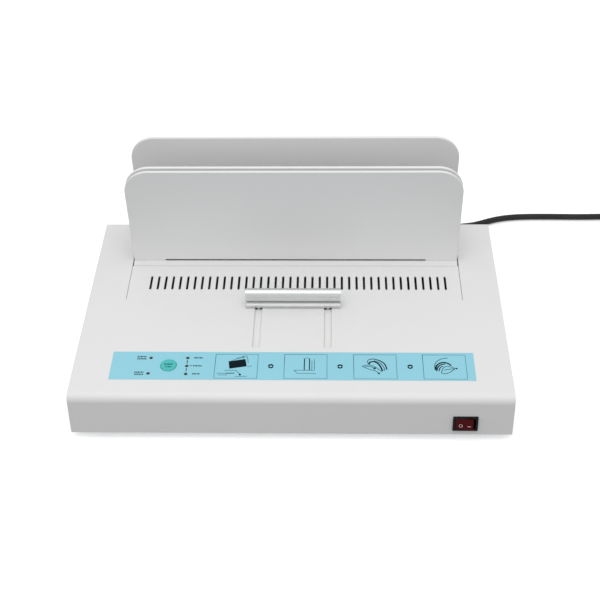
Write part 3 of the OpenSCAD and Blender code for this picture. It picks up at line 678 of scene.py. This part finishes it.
def handleOutline(s):
    # the extruded section in the side view: up the front, over the bead and down the back
    front, back, c = s["webFront"], s["webBack"], s["corner"]
    neck = s["neckZ"]
    deep, low, high = s["grooveDepth"], s["grooveLow"], s["grooveHigh"]
    flange = [(s["flangeFront"] + c, s["base"]), (s["flangeFront"], s["base"] + c),
              (s["flangeFront"], s["flangeTop"] - c), (s["flangeFront"] + c, s["flangeTop"]),
              (front - c, s["flangeTop"]), (front, s["flangeTop"] + c)]
    groove = [(front, low), (front + deep, low + c), (front + deep, high - c), (front, high)]
    points = flange + groove + [(front, neck), (front + s["neckIn"], neck + c)]
    points += arc((s["beadY"], s["beadZ"]), s["beadRadius"], 211, -31, 30)
    points += [(back - s["neckIn"], neck + c), (back, neck)]
    points += [(front + back - y, z) for y, z in reversed(groove)]
    points += [(back, s["flangeTop"] + c), (back + c, s["flangeTop"]),
               (s["flangeBack"] - c, s["flangeTop"]), (s["flangeBack"], s["flangeTop"] - c),
               (s["flangeBack"], s["base"] + c), (s["flangeBack"] - c, s["base"])]
    return points


def makeHandle(s):
    bar = trace("handle_bar", [(-s["halfLength"], y, z) for y, z in handleOutline(s)])
    pickAll()
    bpy.ops.mesh.edge_face_add()
    length = 2 * s["halfLength"] * mm
    bpy.ops.mesh.extrude_region_move(TRANSFORM_OT_translate={"value": (length, 0, 0)})
    pickAll()
    bpy.ops.mesh.normals_make_consistent(inside=False)
    # the sawn ends keep a narrow frame inside their edges
    pickAll("DESELECT")
    setMode("OBJECT")
    for face in bar.data.polygons:
        face.select = abs(face.normal.x) > 0.9
    setMode("EDIT")
    bpy.ops.mesh.select_mode(type="FACE")
    bpy.ops.mesh.inset(thickness=0.25 * mm, depth=0)
    setMode("OBJECT")
    return shadeByAngle(bar, 28)


finish(makeHandle(handleSettings), "carriage", "handle_aluminium", "handle_aluminium", "handle")
for node, name, slot, look in (
        ("handle_posts", "handle_post_pair", "fastener_steel", "fastener_steel"),
        ("slot_shutter_left", "shutter_left", "shutter_white", "shutter_plastic"),
        ("slot_shutter_right", "shutter_right", "shutter_white", "shutter_plastic")):
    finish(refine(node, name, handleSettings["smallEdge"]), "carriage", slot, look, node)
print("stage: handle")


for node, name, width, body, slot, look in (
        ("carriage_arm_left", "arm_left", 0.4, "carriage", "bar_aluminium", "bar_aluminium"),
        ("carriage_arm_right", "arm_right", 0.4, "carriage", "bar_aluminium", "bar_aluminium"),
        ("carriage_bar", "cross_bar", 0.4, "carriage", "bar_aluminium", "bar_aluminium"),
        ("slide_bushings", "bushing_set", 0.2, "carriage", "bushing_bronze", "bushing_bronze"),
        ("clamp_plate_screws", "clamp_screw_pair", 0, "carriage", "fastener_steel", "fastener_steel"),
        ("guide_rod_left", "rod_left", 0.3, "base", "rod_chrome", "rod_chrome"),
        ("guide_rod_right", "rod_right", 0.3, "base", "rod_chrome", "rod_chrome"),
        ("rod_brackets", "rod_bracket_pair", 0.15, "base", "sheet_steel", "zinc_sheet"),
        ("heater_pan", "pan", 0.2, "base", "sheet_steel", "zinc_sheet"),
        ("hot_plate", "heated_bar", 0.5, "base", "bar_aluminium", "bar_aluminium")):
    finish(refine(node, name, width), body, slot, look, node)
print("stage: carriage and heater")


lampSettings = {"radius": 1.5, "low": 39.6, "shoulder": 47.1,
                "status": [(-129.3, -70.3), (-129.8, -90)],
                "timer": [(-95.4, -70.2), (-95.4, -80.4), (-95.4, -90.5)]}
labelSettings = {
    "top": 48.3, "boxTop": -65.5, "boxWidth": 39, "boxHeight": 30.3,
    "boxMiddles": (-50, 13.4, 76.7, 139.8), "markMiddles": (-18.4, 44.8, 108.5), "markY": -80.6,
    "fine": 0.55, "medium": 0.95, "bold": 1.5, "smallPrint": 1.65, "buttonPrint": 1.35,
    "inkHeight": 0.03, "edge": 0.08,
}


def inBox(number, dx, dy):
    s = labelSettings
    return (s["boxMiddles"][number] - s["boxWidth"] / 2 + dx, s["boxTop"] - dy)


def boxed(number, points):
    return [inBox(number, dx, dy) for dx, dy in points]


def rounded(points, steps=4):
    # a smooth line through the points
    line = []
    for i in range(len(points) - 1):
        a, b = points[max(i - 1, 0)], points[i]
        c, d = points[i + 1], points[min(i + 2, len(points) - 1)]
        for k in range(steps):
            t = k / steps
            line.append(tuple(0.5 * (2 * q + (r - p) * t + (2 * p - 5 * q + 4 * r - u) * t * t
                                     + (3 * q - p - 3 * r + u) * t ** 3)
                              for p, q, r, u in zip(a, b, c, d)))
    return line + [points[-1]]


def dashes(left, right, y, widths, gap=0.5):
    # a row of short marks where the real label has small print
    lines, x, i = [], left, 0
    while x < right:
        step = widths[i % len(widths)]
        lines.append([(x, y), (min(x + step, right), y)])
        x += step + gap
        i += 1
    return lines


def addStroke(line, points, width=1):
    spline = line.splines.new("POLY")
    spline.points.add(len(points) - 1)
    for knot, (x, y) in zip(spline.points, points):
        knot.co = (x * mm, y * mm, 0, 1)
        knot.radius = width
    return spline


def printed(name, line, height, flatness, finishName, body, slotName):
    # the drawn curve as a mesh, laid on the surface
    piece = addObject(name, line)
    hold(piece)
    bpy.ops.object.convert(target="MESH")
    piece = bpy.context.object
    piece.scale.z = flatness
    piece.location.z = height * mm
    finish(settle(piece), body, slotName, finishName)


def printLines(name, strokes, height, finishName, body="base", slotName="label_film"):
    # strokes are (points, width); round lines pressed flat
    line = bpy.data.curves.new(name, "CURVE")
    line.dimensions = "3D"
    line.bevel_depth = 0.5 * mm
    line.bevel_resolution = 1
    line.use_fill_caps = True
    for points, width in strokes:
        addStroke(line, points, width)
    printed(name, line, height, 0.05, finishName, body, slotName)


def printShapes(name, outlines, height, finishName):
    # filled shapes with a hair of thickness
    line = bpy.data.curves.new(name, "CURVE")
    line.dimensions = "2D"
    line.fill_mode = "BOTH"
    line.extrude = 0.015 * mm
    for points in outlines:
        addStroke(line, points).use_cyclic_u = True
    printed(name, line, height, 1, finishName, "base", "label_film")


def labelArt(s):
    fine, medium, bold = s["fine"], s["medium"], s["bold"]
    dark, light, solids = [], [], []
    for number in range(4):
        w, h = s["boxWidth"], s["boxHeight"]
        light.append((boxed(number, [(0, 0), (w, 0), (w, h), (0, h), (0, 0)]), fine))
    # first picture: a book goes to the machine
    solids.append(boxed(0, [(12.1, 9.0), (27.4, 6.0), (29.1, 15.3), (13.4, 18.4)]))
    solids.append([(x, y) for x, y in arc(inBox(0, 23.5, 25.8), 1.1, 0, 330, 11)])
    for points in ([(14.5, 8.0), (27.0, 3.2)], [(18.5, 5.3), (28.3, 1.9)], [(24.5, 2.2), (26, 5.6)],
                   [(28.3, 1.9), (29.6, 6.2), (30.2, 11)], [(29.6, 15.6), (34, 14.7)],
                   [(2.4, 24.2), (10, 24.1)], [(3.5, 26.3), (12, 26.2)], [(9, 20.6), (19.5, 20.4)],
                   [(19.5, 20.4), (23.2, 24.8)], [(19, 28), (30, 27.8)]):
        light.append((boxed(0, points), fine))
    dark.append((boxed(0, [(10, 24.1), (18.5, 24.0)]), medium))
    # second picture: it stands in the trough
    for points in ([(18.3, 20), (18.3, 5.3)], [(23, 20), (23, 5.3)]):
        dark.append((boxed(1, points), medium))
    for points in ([(27.5, 20), (27.5, 6.2)], [(9, 20), (27, 20)], [(9, 20), (12, 24), (29, 24)],
                   [(18.3, 5.3), (20.6, 4.2), (23, 5.3)], [(25.2, 8), (25.2, 20)]):
        light.append((boxed(1, points), fine))
    # third picture: the pages are leafed through
    for points, width in (([(13.9, 12.2), (15.1, 9.5), (18.9, 8.9), (22.3, 11.4), (24.4, 15.2),
                            (26.1, 20.6)], bold),
                          ([(21, 6.3), (24.8, 8.3), (28.2, 11.8), (29.8, 16.9)], bold * 0.8),
                          ([(13.9, 6.2), (17.5, 5.4), (21, 6.3)], medium)):
        dark.append((rounded(boxed(2, points)), width))
    for points in ([(7.6, 14.6), (13.9, 12.9), (19.7, 15.8), (25.6, 21.6)],
                   [(7.6, 14.6), (13.9, 18.4), (19.4, 20.3), (23, 23.6)],
                   [(10.4, 15.2), (15.2, 14.9), (19.7, 18.2)],
                   [(18.5, 7.4), (24, 10.6), (27.3, 15.8), (27.8, 20.3)],
                   [(13.6, 6.6), (12.6, 9.0), (13.9, 12)]):
        light.append((rounded(boxed(2, points)), medium * 0.8))
    for place, radius in ((inBox(2, 18.9, 17.3), 1.2), (inBox(2, 22.7, 23.6), 1.0),
                          (inBox(2, 29.8, 18), 0.9)):
        solids.append(arc(place, radius, 0, 330, 11))
    # fourth picture: the cover is folded shut
    for points, width in (([(11, 18.7), (12.3, 13.6), (15.2, 10.7), (18.5, 9.5), (22.7, 10.7),
                            (25.6, 13.6)], bold),
                          ([(11.8, 20.6), (13.5, 15.3), (16.8, 12.2), (20.4, 11.4)], bold * 0.8),
                          ([(13.9, 20.5), (15.2, 16.4), (18.2, 13.9)], medium)):
        dark.append((rounded(boxed(3, points)), width))
    for points in ([(10.4, 17), (11, 11.3), (13.9, 7.2), (17.7, 4.9), (23, 3.8)],
                   [(17.7, 17), (21.8, 14.3), (29, 17)],
                   [(29, 17), (22.7, 22.6), (16.4, 23.2), (17.7, 17)],
                   [(18.5, 19.3), (22.7, 18.2), (28, 17.4)], [(10.4, 17), (10.6, 19.6)]):
        light.append((rounded(boxed(3, points)), medium * 0.8))
    solids.append(arc(inBox(3, 30.2, 17.2), 0.9, 0, 330, 11))
    # the marks between the pictures: a small ring with a heavy top
    for x in s["markMiddles"]:
        dark.append((arc((x, s["markY"]), 1.9, 8, 172, 9), bold * 1.15))
        dark.append((arc((x, s["markY"]), 1.9, 188, 352, 9), bold))
    # plain marks beside the lights, and the bracket of the timer
    small = s["smallPrint"]
    for x, y in lampSettings["status"]:
        for row, widths in ((1.3, (1.1, 0.8, 1.5, 0.6)), (-1.4, (0.7, 1.3, 0.9, 1.1))):
            dark += [(points, small) for points in dashes(x - 12.6, x - 4.4, y + row, widths)]
    for (_, y), right, widths in zip(lampSettings["timer"], (-81.6, -81.8, -82.6),
                                     ((0.6, 1.4, 1.0), (0.9, 0.7, 1.2), (0.8, 1.2, 0.7))):
        dark += [(points, small) for points in dashes(-89.6, right, y, widths)]
    for line in ([(-95.4, -73.2), (-95.4, -77.6)], [(-95.4, -83.2), (-95.4, -87.6)],
                 [(-92.9, -80.4), (-90.6, -80.4)]):
        dark.append((line, medium * 0.8))
    return dark, light, solids


finish(refine("control_label", "instruction_film", labelSettings["edge"]),
       "base", "label_film", "label_film", "control_label")
darkInk, lightInk, solidInk = labelArt(labelSettings)
inkZ = labelSettings["top"] + labelSettings["inkHeight"] / 2
printLines("print_dark_lines", darkInk, inkZ, "label_ink")
printLines("print_fine_lines", lightInk, inkZ, "label_fine_ink")
printShapes("print_solid_shapes", solidInk, inkZ, "label_ink")
print("stage: label")


buttonSettings = {"middle": (-112.2, -79.9), "radius": 7.3, "top": 48.9, "flangeLow": 45.2,
                  "flangeTop": 46.7, "flangeRadius": 8.8}


def makeButton(s):
    r, top = s["radius"], s["top"]
    seed = turned("button_seed", [
        (0, s["flangeLow"]), (s["flangeRadius"], s["flangeLow"]), (s["flangeRadius"], s["flangeTop"]),
        (r, s["flangeTop"]), (r, top - 0.45), (r - 0.12, top - 0.2), (r - 0.4, top - 0.03),
        (r - 0.8, top), (r - 1.5, top - 0.08), (r - 3.5, top - 0.16), (0, top - 0.2)], 56)
    made = shadeByAngle(copyOf(seed, "start_button_cap", placed((*s["middle"], 0))))
    bpy.data.objects.remove(seed)
    return named(made, "start_button_cap")


finish(makeButton(buttonSettings), "start_button", "button_green", "button_green", "start_button")
bx, by = buttonSettings["middle"]
buttonMarks = [(points, labelSettings["buttonPrint"]) for points in
               dashes(bx - 4.0, bx + 4.4, by + 1.1, (1.4, 0.6, 1.9), 0.5)
               + dashes(bx - 2.6, bx + 2.8, by - 2.2, (0.9, 0.5, 1.2), 0.6)]
printLines("start_button_marks", buttonMarks, buttonSettings["top"] - 0.15, "button_ink",
           "start_button", "button_green")

def makeLamps(s, which, slotName):
    r, low, high = s["radius"], s["low"], s["shoulder"]
    dome = [(r * math.cos(a), high + r * math.sin(a)) for a in [math.pi / 2 * i / 8 for i in range(9)]]
    seed = turned("lamp", [(0, low), (r + 0.25, low), (r + 0.25, low + 1), (r, low + 1)] + dome, 24)
    lamps = [copyOf(seed, "lamp", placed((x, y, 0))) for x, y in s[which]]
    bpy.data.objects.remove(seed)
    made = shadeByAngle(joined(lamps, which + "_lamps"), 40)
    finish(made, "base", slotName, slotName, which + "_leds")


makeLamps(lampSettings, "status", "status_lens")
makeLamps(lampSettings, "timer", "timer_lens")
print("stage: button and lights")


switchSettings = {"pivot": (157, -119.31, 20.02), "lean": -10, "rest": -8, "ringRadius": 1.5,
                  "bar": (1.6, 0.32), "ringX": -3.2, "barX": 4.3, "legendZ": -1.7,
                  "faceY": -6.62, "faceSlope": 6.5, "housingEdge": 0.45, "rockerEdge": 0.4}

finish(refine("switch_housing", "switch_bezel", switchSettings["housingEdge"], 3),
       "base", "switch_black", "switch_black", "switch_housing")
finish(refine("power_rocker", "rocker_paddle", switchSettings["rockerEdge"], 3),
       "power_rocker", "rocker_red", "rocker_red", "power_rocker")


def makeLegend(s):
    # a ring on one wing and a bar on the other, just proud of the paddle
    letGo()
    bpy.ops.mesh.primitive_torus_add(major_segments=28, minor_segments=8, location=(0, 0, 0),
                                     major_radius=s["ringRadius"] * mm, minor_radius=0.26 * mm)
    ring = settle(named(bpy.context.object, "ring"))
    halfLong, halfWide = s["bar"]
    bar = softenEdges(block("bar", (-halfLong, -halfWide, -0.2), (halfLong, halfWide, 0.2)), 0.1, 2)
    toPivot = (Matrix.Translation(Vector(s["pivot"]) * mm)
               @ Matrix.Rotation(math.radians(s["lean"]), 4, "X")
               @ Matrix.Rotation(math.radians(s["rest"]), 4, "Z"))
    flat = Matrix.Rotation(math.pi / 2, 4, "X") @ Matrix.Diagonal((1, 1, 0.5, 1))
    slope = math.radians(s["faceSlope"])
    parts = []
    for piece, x in ((ring, s["ringX"]), (bar, s["barX"])):
        lean = Matrix.Rotation(math.copysign(slope, -x), 4, "Z")
        y = s["faceY"] - abs(x) * math.tan(slope)
        spot = Matrix.Translation(Vector((x, y, s["legendZ"])) * mm)
        parts.append(copyOf(piece, "mark", toPivot @ spot @ lean @ flat))
        bpy.data.objects.remove(piece)
    return shadeByAngle(joined(parts, "rocker_marks"), 40)


finish(makeLegend(switchSettings), "power_rocker", "rocker_red", "legend_white")
print("stage: switch")


reliefSettings = {"exit": (174, 126, 22), "ribs": 6, "ribPitch": 2.6, "rootRadius": 6.0,
                  "tipRadius": 4.6, "length": 21}


def makeRelief(s):
    outline = [(3.5, -6), (8.1, -6), (8.1, -1.2), (6.2, -1.2), (6.2, 0), (8.3, 0), (8.7, 0.4),
               (8.7, 2.1), (8.3, 2.5), (s["rootRadius"], 2.8)]
    for i in range(s["ribs"]):
        z = 3.6 + i * s["ribPitch"]
        share = z / s["length"]
        r = s["rootRadius"] + (s["tipRadius"] - s["rootRadius"]) * share
        outline += [(r, z), (r, z + 1.4), (r - 0.9, z + 1.7), (r - 0.9, z + 2.3)]
    outline += [(s["tipRadius"], 19.4), (s["tipRadius"], 20.7), (4.3, 21), (3.5, 21), (3.5, -6)]
    boot = turned("relief_seed", outline, 40)
    made = copyOf(boot, "cord_boot", placed(s["exit"], "Y"))
    bpy.data.objects.remove(boot)
    return shadeByAngle(softenEdges(made, 0.12, 2), 35)


plugSettings = {"at": (376, 36.6, 18.5), "turn": 120, "face": 40, "pinPitch": 19,
                "pinRadius": 2.4, "pinLength": 19, "gripLow": 29, "gripHigh": 38.2,
                "gripRadius": 18, "gripStep": 6, "gripDepth": 0.5}


def plugMatrix(s):
    return (Matrix.Translation(Vector(s["at"]) * mm) @ Matrix.Rotation(math.radians(s["turn"]), 4, "Z")
            @ Matrix.Rotation(-math.pi / 2, 4, "X"))


def makePlug(s):
    outline = [(3.2, -0.2), (5.2, 0), (5.6, 0.5), (5.6, 2.2), (4.9, 2.5), (4.9, 3.5), (5.9, 3.8),
               (5.9, 5.4), (5.1, 5.7), (5.1, 6.7), (6.1, 7), (6.2, 8.6), (5.4, 8.9), (5.4, 9.9),
               (6.4, 10.2), (6.6, 14), (8.2, 17.4), (10.6, 20.3), (13, 22.3), (15.9, 24.1),
               (17.6, 25.8), (18.3, 27.6), (18.4, s["gripLow"]), (18.4, s["gripHigh"]),
               (18.1, 39.2), (17.4, 39.8), (16.4, s["face"]), (15.4, 39.6), (0, 39.6)]
    seed = turned("plug_seed", [(0, -0.2)] + outline, round(360 / s["gripStep"]))
    # finger grips: every other narrow face of the drum is let in
    hold(seed)
    setMode("EDIT")
    bpy.ops.mesh.select_mode(type="FACE")
    pickAll("DESELECT")
    setMode("OBJECT")
    for face in seed.data.polygons:
        around = math.degrees(math.atan2(face.center.y, face.center.x)) % 360
        onDrum = (s["gripLow"] * mm < face.center.z < s["gripHigh"] * mm
                  and Vector(face.center[:2]).length > s["gripRadius"] * mm)
        onSide = abs(math.sin(math.radians(around))) > 0.5
        face.select = onDrum and onSide and int(around / s["gripStep"]) % 2 == 0
    setMode("EDIT")
    bpy.ops.mesh.inset(thickness=0.25 * mm, depth=-s["gripDepth"] * mm, use_individual=True)
    setMode("OBJECT")
    made = copyOf(seed, "plug_shell", plugMatrix(s))
    bpy.data.objects.remove(seed)
    return shadeByAngle(made, 35)


def makePins(s):
    r, tip = s["pinRadius"], s["face"] + s["pinLength"]
    metalPin = turned("pin_seed", [(0, s["face"] - 4), (r, s["face"] - 4), (r, tip - 2.6),
                                   (r - 0.25, tip - 1.4), (r - 0.8, tip - 0.5), (r - 1.5, tip),
                                   (0, tip)], 32)
    sleeve = turned("sleeve_seed", [(r, 38), (r + 0.05, 38), (r + 0.05, 49.6), (r, 49.9), (r, 38)], 32)
    pins, sleeves = [], []
    for side in (-1, 1):
        shift = Matrix.Translation(Vector((side * s["pinPitch"] / 2, 0, 0)) * mm)
        pins.append(copyOf(metalPin, "pin", plugMatrix(s) @ shift))
        sleeves.append(copyOf(sleeve, "sleeve", plugMatrix(s) @ shift))
    bpy.data.objects.remove(metalPin)
    bpy.data.objects.remove(sleeve)
    return (shadeByAngle(joined(pins, "plug_contacts"), 35),
            shadeByAngle(joined(sleeves, "plug_sleeves"), 35))


cordBoot = finish(makeRelief(reliefSettings), "base", "boot_plastic", "boot_plastic", "strain_relief")
plugShell = finish(makePlug(plugSettings), "base", "plug_plastic", "plug_plastic", "plug_body")
contacts, sleeves = makePins(plugSettings)
finish(contacts, "base", "pin_metal", "pin_metal", "plug_pins")
finish(sleeves, "base", "plug_plastic", "plug_plastic")
finish(mainsCord, "base", "cord_jacket", "cord_jacket", "cord_lead", "cord_coil", "cord_tail")
print("stage: cord, boot and plug")


insideFinishes = {
    "plate_spacers": "fastener_steel", "insulation_board": "insulation_fibre",
    "heating_element": "mica_sheet", "heater_standoffs": "fastener_steel",
    "thermostat": "thermal_case", "thermal_fuse": "thermal_case",
    "control_board": "board_laminate", "board_standoffs": "fastener_steel",
    "tact_switch": "small_plastic", "buzzer": "small_plastic", "power_board": "board_laminate",
    "power_standoffs": "fastener_steel", "relay": "relay_case",
    "filter_capacitor": "capacitor_case", "transformer": "transformer_core",
    "terminal_block": "terminal_plastic", "mains_wires": "wire_insulation",
    "switch_terminals": "terminal_brass",
}
for node, look in insideFinishes.items():
    nodes[node].data.materials.clear()
    nodes[node].data.materials.append(finishes[look])
print("stage: inside parts")


lightSettings = {
    "skyAbove": 0.77, "skyBelow": 0.05, "skySeen": 0.97,     # the floor's bounce is kept low and even
    "keyPower": 8.2, "keySize": 1.6, "keyPlace": (-0.02, -0.4, 1.35),
    "floorTone": (0.95, 0.95, 0.95), "floorGlow": 0.3,
}


def makeFloor(s):
    letGo()
    bpy.ops.mesh.primitive_plane_add(size=16, location=(0, 3, -0.0002))
    floor = settle(named(bpy.context.object, "studio_floor"))
    tree, shader, place = newFinish("studio_floor")
    soft = noise(tree, place, 2.0, 2.0)
    color = blendColor(tree, spread(tree, soft, 0.3, 0.7, 0.0, 0.02), s["floorTone"], (0.85, 0.85, 0.85))
    tree.links.new(color, shader.inputs["Base Color"])
    shader.inputs["Roughness"].default_value = 0.8
    shader.inputs["Specular IOR Level"].default_value = 0.1
    shader.inputs["Emission Color"].default_value = (1, 1, 1, 1)
    shader.inputs["Emission Strength"].default_value = s["floorGlow"]
    floor.data.materials.append(finishes["studio_floor"])
    floor.visible_diffuse = False


def makeSoftbox(name, place, target, size, power):
    lamp = bpy.data.lights.new(name, "AREA")
    lamp.shape = "DISK"
    lamp.size = size
    lamp.energy = power
    holder = addObject(name, lamp)
    holder.location = place
    holder.visible_camera = False
    holder.rotation_euler = (Vector(target) - Vector(place)).to_track_quat("-Z", "Y").to_euler()


def makeWorld(s):
    # bright above, dim below the horizon, and close to white where the camera sees it
    world = bpy.data.worlds.new("studio")
    bpy.context.scene.world = world
    world.use_nodes = True
    tree = world.node_tree
    sky = tree.nodes["Background"]
    sky.inputs["Color"].default_value = (1, 1, 1, 1)
    way = tree.nodes.new("ShaderNodeTexCoord").outputs["Generated"]
    parts = tree.nodes.new("ShaderNodeSeparateXYZ")
    tree.links.new(way, parts.inputs[0])
    lit = spread(tree, parts.outputs["Z"], -0.08, 0.08, s["skyBelow"], s["skyAbove"])
    seen = tree.nodes.new("ShaderNodeLightPath").outputs["Is Camera Ray"]
    strength = spread(tree, seen, 0.0, 1.0, lit, s["skySeen"])
    tree.links.new(strength, sky.inputs["Strength"])


makeFloor(lightSettings)
makeSoftbox("key_light", lightSettings["keyPlace"], (0, 0, 0.04), lightSettings["keySize"],
            lightSettings["keyPower"])
makeWorld(lightSettings)
bpy.context.scene.view_settings.view_transform = "Standard"
print("stage: studio")
